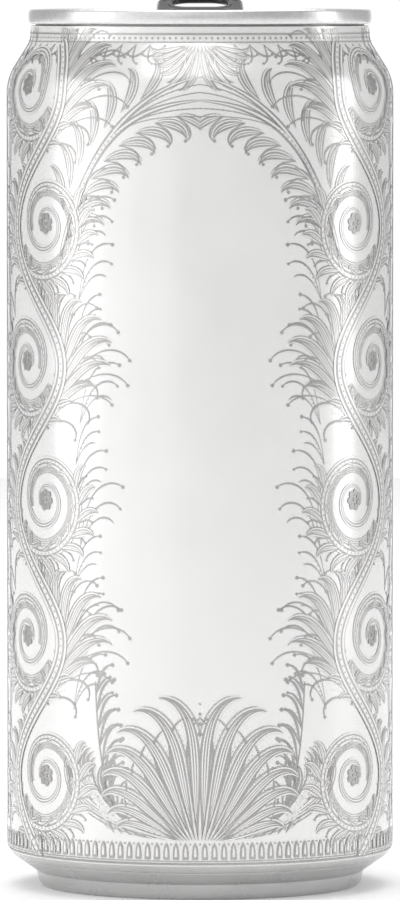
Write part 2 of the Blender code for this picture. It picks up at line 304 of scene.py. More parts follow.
def add_bump(nodes, links, shader, source, strength, distance):
    bump = nodes.new("ShaderNodeBump")
    bump.inputs["Strength"].default_value = strength
    bump.inputs["Distance"].default_value = distance
    links.new(source, bump.inputs["Height"])
    links.new(bump.outputs["Normal"], shader.inputs["Normal"])


def lacquer_material():
    """Satin white over metal, with the faint upright draw marks of the wall under it."""
    made, nodes, links, shader = new_material("white_lacquer")
    clouds = add_noise(nodes, links, 60.0, 3.0)
    draw = add_noise(nodes, links, 900.0, 2.0, (1.0, 1.0, 0.02))
    links.new(
        add_tint(nodes, links, clouds.outputs["Fac"], (0.80, 0.795, 0.79), (0.83, 0.825, 0.82)),
        shader.inputs["Base Color"],
    )
    links.new(add_range(nodes, links, clouds.outputs["Fac"], 0.20, 0.26), shader.inputs["Roughness"])
    shader.inputs["Metallic"].default_value = 0.35
    shader.inputs["Specular IOR Level"].default_value = 0.6
    add_bump(nodes, links, shader, draw.outputs["Fac"], 0.06, 0.00002)
    return made


def ink_material():
    """The silver of the ornament."""
    made, nodes, links, shader = new_material("silver_ink")
    grain = add_noise(nodes, links, 450.0, 4.0)
    clouds = add_noise(nodes, links, 90.0, 2.0)
    links.new(
        add_tint(nodes, links, clouds.outputs["Fac"], (0.38, 0.376, 0.372), (0.46, 0.456, 0.452)),
        shader.inputs["Base Color"],
    )
    links.new(add_range(nodes, links, grain.outputs["Fac"], 0.30, 0.42), shader.inputs["Roughness"])
    shader.inputs["Metallic"].default_value = 0.9
    return made


def shaded_aluminium_material():
    """Rolled aluminium with painted shade: its colour is darker than bare aluminium, in place of the darker
    surround that the base reflects.
    """
    made, nodes, links, shader = new_material("bare_aluminium")
    clouds = add_noise(nodes, links, 120.0, 3.0)
    draw = add_noise(nodes, links, 700.0, 3.0, (1.0, 1.0, 0.05))
    # Painted shade: this base colour is kept darker than bare aluminium to stand in for darker reflections
    # on the base.
    links.new(
        add_tint(nodes, links, clouds.outputs["Fac"], (0.55, 0.547, 0.545), (0.60, 0.597, 0.595)),
        shader.inputs["Base Color"],
    )
    links.new(add_range(nodes, links, clouds.outputs["Fac"], 0.24, 0.32), shader.inputs["Roughness"])
    shader.inputs["Metallic"].default_value = 1.0
    add_bump(nodes, links, shader, draw.outputs["Fac"], 0.08, 0.00002)
    return made


def brushed_material():
    """The end's rolled sheet, with grain along Y."""
    made, nodes, links, shader = new_material("brushed_aluminium")
    clouds = add_noise(nodes, links, 150.0, 3.0)
    grain = add_noise(nodes, links, 1500.0, 3.0, (1.0, 0.02, 1.0))
    links.new(
        add_tint(nodes, links, grain.outputs["Fac"], (0.68, 0.677, 0.675), (0.76, 0.757, 0.755)),
        shader.inputs["Base Color"],
    )
    links.new(add_range(nodes, links, clouds.outputs["Fac"], 0.24, 0.34), shader.inputs["Roughness"])
    shader.inputs["Metallic"].default_value = 1.0
    add_bump(nodes, links, shader, grain.outputs["Fac"], 0.2, 0.00002)
    return made


def tab_material():
    """Gloss black lacquer."""
    made, nodes, links, shader = new_material("black_tab")
    clouds = add_noise(nodes, links, 300.0, 3.0)
    links.new(
        add_tint(nodes, links, clouds.outputs["Fac"], (0.004, 0.004, 0.004), (0.009, 0.009, 0.009)),
        shader.inputs["Base Color"],
    )
    links.new(add_range(nodes, links, clouds.outputs["Fac"], 0.12, 0.2), shader.inputs["Roughness"])
    shader.inputs["Metallic"].default_value = 0.0
    add_bump(nodes, links, shader, clouds.outputs["Fac"], 0.05, 0.00005)
    return made


LACQUER = lacquer_material()
INK = ink_material()
SHADED_ALUMINIUM = shaded_aluminium_material()
BRUSHED = brushed_material()
BLACK = tab_material()


# Body


def chuck_radius_at(z):
    """Inner radius of the end's sloping wall."""
    return SEAM_INNER_RADIUS - (HEIGHT - SEAM_BEND - z) * math.tan(CHUCK_WALL_SLOPE)


def plug_radius_at(z):
    return chuck_radius_at(z) + PLUG_WALL


def neck_corners():
    """The outside from the neck's top edge down to the wall."""
    shoulder_corner = NECK_CORNER - (BODY_RADIUS - NECK_RADIUS) / math.tan(NECK_SLOPE)
    return [
        (NECK_RADIUS, HEIGHT - SEAM_HEIGHT - CLEARANCE, 0.0, 0),
        (NECK_RADIUS, NECK_CORNER, NECK_BEND, 14),
        (BODY_RADIUS, shoulder_corner, SHOULDER_BEND, 22),
    ]


def outside_points():
    """The can's outside from the neck's top edge down to the foot of the chime."""
    chime_low = CHIME_TOP - (BODY_RADIUS - RING_RADIUS) / math.tan(CHIME_SLOPE)
    corners = neck_corners()
    corners += [
        (BODY_RADIUS, CHIME_TOP, CHIME_BEND, 26),
        (RING_RADIUS, chime_low, 0.0, 0),
    ]
    return filleted(corners)


def split_at(points, level):
    """The points above a level and those below it, both with a point on it."""
    above = [p for p in points if p.y > level]
    below = [p for p in points if p.y <= level]
    a, b = above[-1], below[0]
    cut = a.lerp(b, (a.y - level) / (a.y - b.y))
    return above + [cut], [cut] + below


def wall_piece():
    """The printed neck and wall, down to where the print ends on the chime."""
    plug_floor = HEIGHT - PLUG_FLOOR_DEPTH - CLEARANCE
    neck_top = HEIGHT - SEAM_HEIGHT - CLEARANCE
    corners = [
        Vector((0.0, plug_floor)),
        Vector((plug_radius_at(plug_floor) + CLEARANCE, plug_floor)),
        Vector((plug_radius_at(neck_top) + CLEARANCE, neck_top)),
    ]
    printed, _ = split_at(outside_points(), PRINT_EDGE)
    inner = Vector((BODY_RADIUS - PRINT_OVERLAP, PRINT_EDGE))
    middle = Vector((0.0, PRINT_EDGE))
    return turned("printed_wall", corners + printed + [inner, middle], LACQUER)


def base_piece():
    """The bare chime with its fine groove, the stand ring and the dome."""
    _, bare = split_at(outside_points(), PRINT_EDGE)
    bare = [Vector((p.x - LACQUER_STEP, p.y)) for p in bare]
    chime_low = bare.pop()
    slope = (chime_low - bare[-1]).normalized()
    across = Vector((slope.y, -slope.x))
    groove = []
    for k in range(GROOVE_STEPS + 1):
        t = k / GROOVE_STEPS
        dip = GROOVE_DEPTH * math.sin(math.pi * t) ** 2
        groove.append(bare[-1] + slope * GROOVE_WIDTH * t + across * dip)
    stand_inner = RING_FOOT_RADIUS - NOSE_BEND - STAND_WIDTH
    inner_wall = stand_inner - INNER_BEND
    corners = [
        (groove[-1].x, groove[-1].y, 0.0, 0),
        (RING_RADIUS, chime_low.y, RING_BEND, 8),
        (RING_FOOT_RADIUS, 0.0, NOSE_BEND, 14),
        (inner_wall, 0.0, INNER_BEND, 10),
        (inner_wall, INNER_WALL_TOP, 0.6 * MM, 8),
        (DOME_EDGE_RADIUS, INNER_WALL_TOP + 0.5 * MM, 0.0, 0),
    ]
    top = [Vector((0.0, PRINT_EDGE)), Vector((BODY_RADIUS - PRINT_OVERLAP, PRINT_EDGE))]
    points = top + bare[:-1] + groove[:-1] + filleted(corners)
    rise = DOME_HEIGHT - points[-1].y
    sphere = (DOME_EDGE_RADIUS**2 + rise**2) / (2 * rise)
    reach = math.asin(DOME_EDGE_RADIUS / sphere)
    steps = 40
    for k in range(1, steps + 1):
        angle = reach * (1 - k / steps)
        points.append(Vector((sphere * math.sin(angle), DOME_HEIGHT - sphere * (1 - math.cos(angle)))))
    return turned("bare_base", points, SHADED_ALUMINIUM)


# Print. Places on the unrolled wall are in millimetres: u round it from the middle of the front, v up it.

QUARTER = 51.915
STEP_BELOW = 0.8
STEP_ABOVE = 0.45
SHOULDER_V = 117.0
BEND_STEP = math.radians(20)
COLUMN_WIDTH = 1.0
THIN = 0.02
HALO = 0.16
WIDEST = 0.55  # where along a feather it is widest

# Each group of shapes lies over the one before. In a group the white halos lie lowest.
COATS = {"halo": 0, "motif": 1, "vein": 2, "detail": 3}
GROUPS = []


def new_group():
    GROUPS.append({coat: [] for coat in COATS})


def spaced(points):
    """The same curve with fewer points where it is straight and more where it turns."""
    legs = np.diff(points, axis=0)
    lengths = np.hypot(legs[:, 0], legs[:, 1])
    turn = np.unwrap(np.arctan2(legs[:, 1], legs[:, 0]))
    bends = np.abs(np.diff(turn, append=turn[-1]))
    step = np.where(points[1:, 1] > SHOULDER_V, STEP_ABOVE, STEP_BELOW)
    cost = np.concatenate([[0.0], np.cumsum(lengths / step + bends / BEND_STEP)])
    count = max(4, math.ceil(cost[-1]))
    at = np.linspace(0.0, cost[-1], count + 1)
    return np.stack([np.interp(at, cost, points[:, 0]), np.interp(at, cost, points[:, 1])], axis=1)


def swoop(start, heading, length, bend_first, bend_last, power=1.0, samples=240):
    """A curve from a start and a heading in degrees. Its bend, in degrees a millimetre, grows along it."""
    t = np.linspace(0.0, 1.0, samples)
    bend = bend_first + (bend_last - bend_first) * t**power
    leg = length / (samples - 1)
    turn = math.radians(heading) + np.concatenate([[0.0], np.cumsum(np.radians(bend[:-1]) * leg)])
    x = start[0] + np.concatenate([[0.0], np.cumsum(np.cos(turn[:-1]) * leg)])
    y = start[1] + np.concatenate([[0.0], np.cumsum(np.sin(turn[:-1]) * leg)])
    return np.stack([x, y], axis=1)


def spiral(centre, outer, inner, start_angle, turns, samples=400):
    """A curve round a centre from an outer to an inner radius. Positive turns go anticlockwise."""
    t = np.linspace(0.0, 1.0, samples)
    angle = math.radians(start_angle) + math.tau * turns * t
    radius = inner + (outer - inner) * (1.0 - t) ** 1.25
    return np.stack([centre[0] + radius * np.cos(angle), centre[1] + radius * np.sin(angle)], axis=1)


def bezier(a, b, c, d, samples=120):
    t = np.linspace(0.0, 1.0, samples)[:, None]
    s = 1.0 - t
    a, b, c, d = map(np.asarray, (a, b, c, d))
    return s**3 * a + 3 * s * s * t * b + 3 * s * t * t * c + t**3 * d


def sides(points):
    """Unit vectors to the left of a curve."""
    legs = np.gradient(points, axis=0)
    legs /= np.maximum(np.hypot(legs[:, 0], legs[:, 1]), 1e-9)[:, None]
    return np.stack([-legs[:, 1], legs[:, 0]], axis=1)


def along(points):
    """How far along a curve its points are, from 0 to 1."""
    legs = np.diff(points, axis=0)
    run = np.concatenate([[0.0], np.cumsum(np.hypot(legs[:, 0], legs[:, 1]))])
    return run / run[-1]


def offset(points, distance):
    return points + sides(points) * np.asarray(distance).reshape(-1, 1)


def ribbon(layer, points, left, right=None):
    """A strip along a curve. Its widths to the left and right are numbers or functions of the way along."""
    points = spaced(points)
    t = along(points)
    right = left if right is None else right
    wide = [w(t) if callable(w) else np.full(len(t), float(w)) for w in (left, right)]
    wide = np.maximum(wide, THIN / 2)
    columns = 1 + math.ceil(float(wide.sum(axis=0).max()) / COLUMN_WIDTH)
    side = sides(points)
    across = np.linspace(-1.0, 1.0, columns + 1 if columns > 2 else 2)
    strip = np.empty((len(points), len(across), 2))
    for k, a in enumerate(across):
        reach = a * (wide[0] if a > 0 else wide[1])
        strip[:, k] = points + side * reach[:, None]
    GROUPS[-1][layer].append(strip)


def swell(width, peak=0.5, sharp=1.0, tip=0.0):
    """A width that grows from nothing to its peak along the curve and thins again."""
    power = math.log(0.5) / math.log(peak)

    def at(t):
        return tip + width * np.sin(math.pi * t**power) ** sharp

    return at


def taper(width, tip=0.05):
    """A width that thins along the curve."""

    def at(t):
        return tip + (width - tip) * (1.0 - t) ** 0.9

    return at


def dot(layer, centre, radius):
    """A small round dot."""
    s = np.linspace(-1.0, 1.0, 5)
    points = np.stack([np.full(5, centre[0]), centre[1] + s * radius * 0.98], axis=1)
    wide = radius * np.sqrt(np.maximum(1.0 - s * s, 0.03))
    strip = np.empty((5, 2, 2))
    strip[:, 0] = points + np.stack([wide, 0 * wide], axis=1)
    strip[:, 1] = points - np.stack([wide, 0 * wide], axis=1)
    GROUPS[-1][layer].append(strip)


def dots(layer, points, gap, radius, radius_end=None):
    """A row of dots along a curve."""
    legs = np.diff(points, axis=0)
    run = np.concatenate([[0.0], np.cumsum(np.hypot(legs[:, 0], legs[:, 1]))])
    count = max(1, int(run[-1] / gap))
    radius_end = radius if radius_end is None else radius_end
    for k in range(count + 1):
        at = run[-1] * k / count
        centre = (np.interp(at, run, points[:, 0]), np.interp(at, run, points[:, 1]))
        dot(layer, centre, radius + (radius_end - radius) * k / count)


def line(points, width=0.1, layer="motif"):
    ribbon(layer, points, width)


def end_of(points, t=1.0):
    """Place and heading in degrees at a way along a curve."""
    at = along(points)
    k = min(int(np.searchsorted(at, t)), len(points) - 1)
    k0 = max(k - 1, 0)
    if k0 == k:
        k = k0 + 1
    leg = points[k] - points[k0]
    return points[k], math.degrees(math.atan2(leg[1], leg[0]))


def tendril(start, heading, length, first, last, power=2.0, width=0.22, ball=0.4, layer="motif"):
    """A fine curling stroke that ends in a dot."""
    spine = swoop(start, heading, length, first, last, power)
    ribbon(layer, spine, swell(width, 0.6, 0.8, 0.05))
    if ball:
        dot(layer, spine[-1], ball)
    return spine


def plume(start, heading, length, first, last, power, width, veins, echo):
    """A curled feather: a silver stroke with white streaks and a fine line that follows its back."""
    spine = swoop(start, heading, length, first, last, power)
    ribbon("halo", spine, swell(width + HALO, WIDEST, 0.7, 0.12))
    ribbon("motif", spine, swell(width, WIDEST, 0.9, 0.05))
    t = along(spine)
    body = np.sin(math.pi * t ** (math.log(0.5) / math.log(WIDEST)))
    for k in range(veins):
        share = (k + 1) / (veins + 1)
        shift = width * (2.0 * share - 1.0) * body
        part = offset(spine, shift)
        first_k = int(len(part) * (0.12 + 0.05 * ((k * 7) % 3)))
        last_k = int(len(part) * (0.9 - 0.07 * ((k * 5) % 3)))
        ribbon("vein", part[first_k:last_k], swell(0.045 + 0.05 * width, 0.5, 0.6, 0.02))
    if echo:
        away = -math.copysign(width + echo, last)
        back = offset(spine, away * body**0.6)
        ribbon("motif", back[int(len(back) * 0.08) : int(len(back) * 0.94)], swell(0.055, 0.5, 0.5, 0.03))
    return spine


def petal_ring(centre, radius, count, turn=0.0, layer="detail"):
    """A small rosette."""
    for k in range(count):
        a = math.radians(turn) + math.tau * k / count
        near = np.array([centre[0] + 0.28 * radius * math.cos(a), centre[1] + 0.28 * radius * math.sin(a)])
        far = np.array([centre[0] + radius * math.cos(a), centre[1] + radius * math.sin(a)])
        t = np.linspace(0.0, 1.0, 12)[:, None]
        ribbon(layer, near + (far - near) * t, swell(radius * 0.3, 0.6, 0.7, 0.03))
    dot(layer, centre, radius * 0.24)


COLUMN_U = 33.0
WAVE = 7.0
VOLUTE_STEP = 23.4
FIRST_CROSSING = 2.0
VOLUTES = 6


def stem_at(v):
    return COLUMN_U + WAVE * np.sin(math.pi * (v - FIRST_CROSSING) / VOLUTE_STEP)


def column():
    """A scrolling stem up the column, with a volute in each hollow and feathers on its swells."""
    v = np.linspace(FIRST_CROSSING - 1.5, FIRST_CROSSING + VOLUTE_STEP * VOLUTES - 3.0, 900)
    stem = np.stack([stem_at(v), v], axis=1)
    new_group()
    for k in range(VOLUTES):
        swell_feathers(k)
    new_group()
    for k in range(VOLUTES):
        volute(k)
    new_group()
    ribbon("halo", stem, 1.25)
    ribbon("motif", stem, 0.8)
    ribbon("vein", stem, 0.34)
    dots("detail", stem, 1.2, 0.2)
    for shift in (-1.3, 1.3):
        line(offset(stem, shift), 0.07)


def swell_feathers(k):
    """Long feathers that sweep off the back of a swell of the stem."""
    low = FIRST_CROSSING + VOLUTE_STEP * k
    out = 1.0 if k % 2 == 0 else -1.0
    inner = out < 0
    turn = -out
    for j in range(7):
        v = low + VOLUTE_STEP * (0.05 + 0.115 * j)
        foot = np.array([float(stem_at(v)), v])
        way = math.degrees(math.atan2(0.2, float(stem_at(v + 0.2)) - foot[0]))
        length = (16.0, 17.0, 16.5, 15.0, 13.0, 10.5, 8.0)[j] * (1.0 if inner else 0.68)
        tip = turn * (20.0 + 3.0 * j) * (14.0 / length)
        plume(foot, way + turn * 10.0, length, turn * -0.5, tip, 3.2, 0.78 if inner else 0.66, 3, 0.5)
        trail = swoop(foot, way + turn * 22.0, length * 0.5, 0.0, turn * 6.0, 1.5)
        dots("detail", trail[70:], 0.8, 0.12, 0.07)
        tendril(foot, way + turn * 30.0, length * 0.72, turn * 0.5, turn * 44.0, 2.6, 0.13, 0.28)
        if inner and j < 6:
            hook = swoop(foot, way + turn * 16.0, length * 1.15, 0.0, tip * 0.9, 2.6)
            ribbon("motif", hook[60:], swell(0.1, 0.75, 0.8, 0.03))
            dot("motif", hook[-1], 0.3)


def volute(k):
    """One hollow of the stem: a branch that rolls up round a rosette, with feathers along its back."""
    low = FIRST_CROSSING + VOLUTE_STEP * k
    side = -1.0 if k % 2 == 0 else 1.0
    centre = np.array([COLUMN_U + side * 2.9, low + VOLUTE_STEP * 0.53])
    start_angle = -55.0 if side < 0 else -125.0
    branch = spiral(centre, 9.6, 1.6, start_angle, side * 1.9)
    root_v = low - VOLUTE_STEP * 0.2
    foot = np.array([float(stem_at(root_v)), root_v])
    near = branch[0] - (branch[6] - branch[0]) * 6
    lead = bezier(foot, foot + np.array([0.0, 2.0]), near, branch[0])
    whole = np.concatenate([lead[:-1], branch])
    back = -side
    for j in range(4):
        echo = spiral(centre, 9.6 - 0.95 - 0.42 * j, 4.6 - 0.25 * j, start_angle - side * 20.0, side * 0.95)
        line(echo, 0.055)
    for j in range(13):
        t = 0.045 + 0.036 * j
        at, way = end_of(whole, t)
        size = 1.0 - 0.025 * j
        plume(at, way + back * 22.0, 7.6 * size, 0.0, back * (24.0 + 1.5 * j), 1.9, 0.58 * size, 2, 0.4)
        tendril(at, way + back * 40.0, 5.2 * size, 0.0, back * 52.0, 2.0, 0.1, 0.22)
    for j in range(13):
        t = 0.12 + 0.05 * j
        at, way = end_of(whole, t)
        size = 1.0 - 0.05 * j
        plume(at, way - back * 26.0, 4.4 * size, 0.0, -back * (34.0 + 4.0 * j), 1.8, 0.42 * size, 1, 0.0)
        dots("detail", swoop(at, way - back * 52.0, 2.6 * size, 0.0, -back * 10.0)[60:], 0.55, 0.11, 0.06)
    ribbon("halo", whole, taper(1.15, 0.45))
    ribbon("motif", whole, taper(0.82, 0.22))
    ribbon("vein", whole, taper(0.34, 0.05))
    dots("detail", whole[40:330], 1.0, 0.19, 0.1)
    petal_ring(centre, 1.9, 7, 15.0 * k)


def fillers():
    """Small curls and dots in the corners between the volutes and the blades."""
    for k in range(VOLUTES):
        low = FIRST_CROSSING + VOLUTE_STEP * k
        if k % 2:
            for m, way in ((0.86, 60.0), (1.02, 40.0), (1.18, 85.0)):
                foot = np.array([41.5, low + VOLUTE_STEP * m - 8.0])
                tendril(foot, way, 8.0, 0.5, 40.0, 2.4, 0.16, 0.32)
                tendril(foot, way - 22.0, 6.0, -0.5, -46.0, 2.4, 0.13, 0.26)
        else:
            for m in range(5):
                foot = np.array([43.6, low + 3.0 + 3.6 * m])
                tendril(foot, 76.0, 6.5, -1.0, -(44.0 + 2 * m), 2.2, 0.15, 0.3)
                dot("detail", foot + np.array([2.4, 0.6]), 0.18)


def side_lines():
    """Fine lines that follow the stem's swing between the column and the blades."""
    for j in range(5):
        v = np.linspace(2.0, 138.0, 420)
        u = 44.1 + 0.5 * j + (1.6 - 0.3 * j) * np.sin(math.pi * (v - FIRST_CROSSING) / VOLUTE_STEP)
        ribbon("motif", np.stack([u, v], axis=1), 0.055 if j != 2 else 0.11)


def blades():
    """Upright blades down the side, between the fronts."""
    for k in range(17):
        foot = np.array([QUARTER, 4.0 + 8.0 * k])
        for lean, length, width in ((74.0, 13.0, 0.9), (62.0, 10.0, 0.75), (49.0, 7.4, 0.6)):
            plume(foot, 180.0 - lean, length, 0.0, -9.0 - 60.0 / length, 1.6, width, 2, 0.35)
        tendril(foot + np.array([0.0, 1.0]), 140.0, 6.0, 2.0, 70.0, 2.4, 0.14, 0.28)
    axis = np.stack([np.full(200, QUARTER), np.linspace(1.0, 140.0, 200)], axis=1)
    ribbon("halo", axis, 0.6)
    ribbon("motif", axis, 0.32)
    for k in range(17):
        v = 8.0 + 8.0 * k
        dot("detail", (QUARTER, v), 0.55)


def foot_palmette():
    """A fan of feathers that stands on the bottom edge in the middle of a front."""
    for j in range(8):
        heading = 86.0 - 9.5 * j
        length = (27.0, 26.5, 24.5, 22.5, 20.0, 17.5, 14.5, 11.5)[j]
        foot = np.array([0.3 + 0.5 * j, 4.6])
        plume(foot, heading, length, 0.3, -(19.0 + 2.0 * j), 4.0, 0.95 - 0.04 * j, 3, 0.55)
        tendril(foot, heading - 4.5, length * 0.9, 0.0, 30.0 + 2.0 * j, 4.5, 0.14, 0.33)
        dots("detail", swoop(foot, heading - 3.0, length * 0.7, 0.2, -3.0, 2.0)[90:], 0.9, 0.14, 0.07)
    for k in range(4):
        dot("motif", (0.0, 22.5 + 1.7 * k), 0.44 - 0.09 * k)


def corner_sweep():
    """Long feathers from the foot of the fan out to the column, with curls that rise inside them."""
    for j in range(7):
        foot = np.array([6.0 + 1.5 * j, 4.7 + 0.15 * j])
        plume(foot, 14.0 + 7.0 * j, 27.0 - 2.4 * j, 0.9, 30.0 + j, 4.6, 0.85, 3, 0.5)
        tendril(foot, 22.0 + 7.5 * j, 20.0 - 1.6 * j, 1.2, 34.0 + 2.0 * j, 4.0, 0.13, 0.3)
    root = bezier((9.0, 5.0), (16.0, 6.0), (18.0, 16.0), (18.6, 31.0))
    line(root, 0.1)
    for j in range(9):
        at, way = end_of(root, 0.12 + 0.1 * j)
        tendril(at, way + 16.0, 10.5 - 0.5 * j, 0.5, 30.0 + j, 2.2, 0.18, 0.36)
        tendril(at, way + 30.0, 7.5 - 0.4 * j, 1.0, 44.0, 2.2, 0.13, 0.28)
        dots("detail", swoop(at, way + 24.0, 5.0, 0.5, 6.0)[60:], 0.8, 0.12, 0.06)


def fringe():
    """Fine hooked curls that reach from the column into the bare panel."""
    for k in range(13):
        v = 26.0 + 6.9 * k
        length = 13.0 + 3.0 * math.sin(1.9 * k)
        foot = np.array([22.5 + 0.7 * math.cos(2.3 * k), v])
        for m in range(3):
            spine = swoop(foot, 100.0 + 9.0 * m, length * (1.0 - 0.2 * m), 0.0, 20.0 + 7.0 * m, 1.7)
            ribbon("motif", spine, swell(0.13, 0.8, 0.9, 0.04))
            if m < 2:
                dot("motif", spine[-1], 0.34 - 0.08 * m)
        dots("detail", swoop(foot, 112.0, length * 0.6, 0.0, 8.0)[80:], 0.85, 0.13, 0.06)


def arch():
    """Bundles that leave the column high up and meet over the bare panel."""
    for j in range(6):
        run = bezier((27.0 - 1.1 * j, 100.0 + 2.6 * j), (22.0 - 0.9 * j, 118.0 + 1.2 * j),
                     (12.0, 130.5 - 0.8 * j), (0.0, 133.0 - 1.35 * j))
        if j in (0, 3):
            ribbon("motif", run, swell(0.5, 0.45, 0.7, 0.1))
            ribbon("vein", run, swell(0.16, 0.45, 0.7, 0.04))
        else:
            line(run, 0.08)
            if j in (1, 4):
                dots("detail", run, 0.95, 0.13)
    root = bezier((25.0, 104.0), (21.0, 117.0), (12.0, 126.0), (0.0, 127.0))
    for j in range(9):
        at, way = end_of(root, 0.04 + 0.105 * j)
        plume(at, way + 24.0, 9.0 - 0.35 * j, 3.0, 30.0 + j, 2.2, 0.62, 2, 0.4)
        tendril(at, way + 44.0, 5.6, 6.0, 66.0, 2.2, 0.13, 0.3)
    for j in range(8):
        at, way = end_of(root, 0.05 + 0.115 * j)
        at = at + np.array([1.2, 4.4])
        plume(at, way - 24.0, 8.6, -1.0, -(22.0 + 2 * j), 2.0, 0.62, 2, 0.4)


def crown():
    """A fan that hangs from the neck in the middle of a front."""
    for j in range(6):
        heading = -84.0 + 13.0 * j
        length = (9.5, 9.0, 8.5, 8.0, 7.5, 7.0)[j]
        plume((0.3 + 0.5 * j, 139.0), heading, length, 0.5, 24.0 + 3.0 * j, 2.6, 0.5, 2, 0.3)
    for j in range(14):
        foot = np.array([6.5 + 2.9 * j, 139.2])
        tendril(foot, -50.0, 5.2, 0.5, 52.0, 1.8, 0.15, 0.28)
        tendril(foot, -80.0, 4.2, -0.5, -56.0, 1.8, 0.13, 0.24)


def borders():
    """Fine lines and a row of tongues along the bottom edge, and lines and dots under the seam."""
    round_u = np.linspace(0.0, QUARTER, 260)
    for v, width in ((0.5, 0.14), (1.0, 0.06), (139.6, 0.07), (141.0, 0.12)):
        line(np.stack([round_u, np.full(260, v)], axis=1), width)
    dots("detail", np.stack([round_u, np.full(260, 140.3)], axis=1), 1.15, 0.2)
    count = 32
    for k in range(count):
        u = QUARTER * (k + 0.5) / count
        t = np.linspace(0.0, 1.0, 14)
        tongue = np.stack([np.full(14, u), 1.3 + 2.9 * t], axis=1)
        ribbon("motif", tongue, lambda x: 0.52 * np.sqrt(np.maximum(1.0 - x**2.6, 0.0)))
        ribbon("vein", tongue[2:11], lambda x: 0.2 * np.sqrt(np.maximum(1.0 - x**2.6, 0.0)))
        dot("detail", (QUARTER * k / count, 3.9), 0.17)


new_group()
side_lines()
new_group()
blades()
fillers()
arch()
fringe()
crown()
new_group()
corner_sweep()
column()
foot_palmette()
borders()


def unrolled():
    """The wall's outside by the way up from the print's edge: radius, height and outward direction."""
    printed, _ = split_at(outside_points(), PRINT_EDGE)
    printed = np.array([(p.x, p.y) for p in printed])[::-1]
    legs = np.diff(printed, axis=0)
    run = np.concatenate([[0.0], np.cumsum(np.hypot(legs[:, 0], legs[:, 1]))])
    up = np.gradient(printed, run, axis=0)
    up /= np.hypot(up[:, 0], up[:, 1])[:, None]
    return run, printed[:, 0], printed[:, 1], up[:, 1], -up[:, 0]


RUN, RUN_RADIUS, RUN_HEIGHT, RUN_OUT, RUN_UP = unrolled()
PRINT_TOP = RUN[-1] / MM - 0.15
PRINT_FOOT = 0.1


def wrapped(strip, lift, flip, shift):
    """Places of a strip of the unrolled wall, cut at the mirror lines, mirrored and moved round."""
    u = np.clip(strip[..., 0].ravel(), 0.0, QUARTER) * MM
    v = strip[..., 1].ravel() * MM
    turn = flip * u / BODY_RADIUS + shift
    out = np.interp(v, RUN, RUN_RADIUS) + lift * np.interp(v, RUN, RUN_OUT)
    z = np.interp(v, RUN, RUN_HEIGHT) + lift * np.interp(v, RUN, RUN_UP)
    return np.stack([out * np.sin(turn), -out * np.cos(turn), z], axis=1)


def kept_parts(strip):
    """The stretches of a strip that lie on the printed wall."""
    inside = (strip[..., 1].max(axis=1) < PRINT_TOP) & (strip[..., 1].min(axis=1) > PRINT_FOOT)
    edges = np.flatnonzero(np.diff(np.concatenate([[0], inside.astype(int), [0]])))
    return [strip[a:b] for a, b in zip(edges[::2], edges[1::2]) if b - a > 1]


def print_piece(name, coats, finish, shift):
    """All the strips of some coats on one half of the wall, each copied in its mirror image."""
    places, faces, start = [], [], 0
    for g, group in enumerate(GROUPS):
        for coat in coats:
            lift = PRINT_LIFT + COAT_STEP * (len(COATS) * g + COATS[coat])
            for whole in group[coat]:
                for strip in kept_parts(whole):
                    rows, columns = strip.shape[:2]
                    corner = np.arange(rows * columns).reshape(rows, columns)
                    quads = np.stack(
                        [corner[:-1, :-1], corner[:-1, 1:], corner[1:, 1:], corner[1:, :-1]], axis=-1
                    ).reshape(-1, 4)
                    for flip in (1.0, -1.0):
                        places.append(wrapped(strip, lift, flip, shift))
                        faces.append(start + (quads if flip > 0 else quads[:, ::-1]))
                        start += rows * columns
    places = np.concatenate(places)
    faces = np.concatenate(faces)
    ends = places[faces]
    normal = np.cross(ends[:, 2] - ends[:, 0], ends[:, 3] - ends[:, 1])
    kept = np.linalg.norm(normal, axis=1) > SMALLEST_FACE
    faces, normal = faces[kept], normal[kept]
    used, faces = np.unique(faces, return_inverse=True)
    places, faces = places[used], faces.reshape(-1, 4)
    middle = places[faces].mean(axis=1)
    inward = (normal[:, :2] * middle[:, :2]).sum(axis=1) < 0
    faces[inward] = faces[inward][:, ::-1]
    mesh = bpy.data.meshes.new(name)
    mesh.vertices.add(len(places))
    mesh.vertices.foreach_set("co", places.ravel())
    mesh.loops.add(faces.size)
    mesh.loops.foreach_set("vertex_index", faces.ravel())
    mesh.polygons.add(len(faces))
    mesh.polygons.foreach_set("loop_start", np.arange(len(faces)) * 4)
    mesh.update(calc_edges=True)
    mesh.validate()
    mesh.shade_smooth()
    mesh.materials.append(finish)
    obj = bpy.data.objects.new(name, mesh)
    CAN.objects.link(obj)
    return obj


# End


def rise(distance, width):
    """0 outside an outline and 1 well inside it, with a soft edge. Distance is negative inside."""
    t = np.clip(0.5 - distance / width, 0.0, 1.0)
    return t * t * (3.0 - 2.0 * t)


def belt_distance(x, y, near_y, near_radius, far_y, far_radius):
    """Signed distance to a belt round two circles on the Y axis."""
    span = far_y - near_y
    lean = (near_radius - far_radius) / span
    side = math.sqrt(1.0 - lean * lean)
    px, py = np.abs(x), y - near_y
    along = -lean * px + side * py
    near = np.hypot(px, py) - near_radius
    far = np.hypot(px, py - span) - far_radius
    flank = side * px + lean * py - near_radius
    return np.where(along < 0.0, near, np.where(along > side * span, far, flank))


def ellipse_distance(x, y, half_width, half_length):
    """About the signed distance to an ellipse round the origin."""
    g = np.sqrt((x / half_width) ** 2 + (y / half_length) ** 2) + 1e-9
    slope = np.sqrt((x / half_width**2) ** 2 + (y / half_length**2) ** 2) / g + 1e-9
    return (g - 1.0) / slope


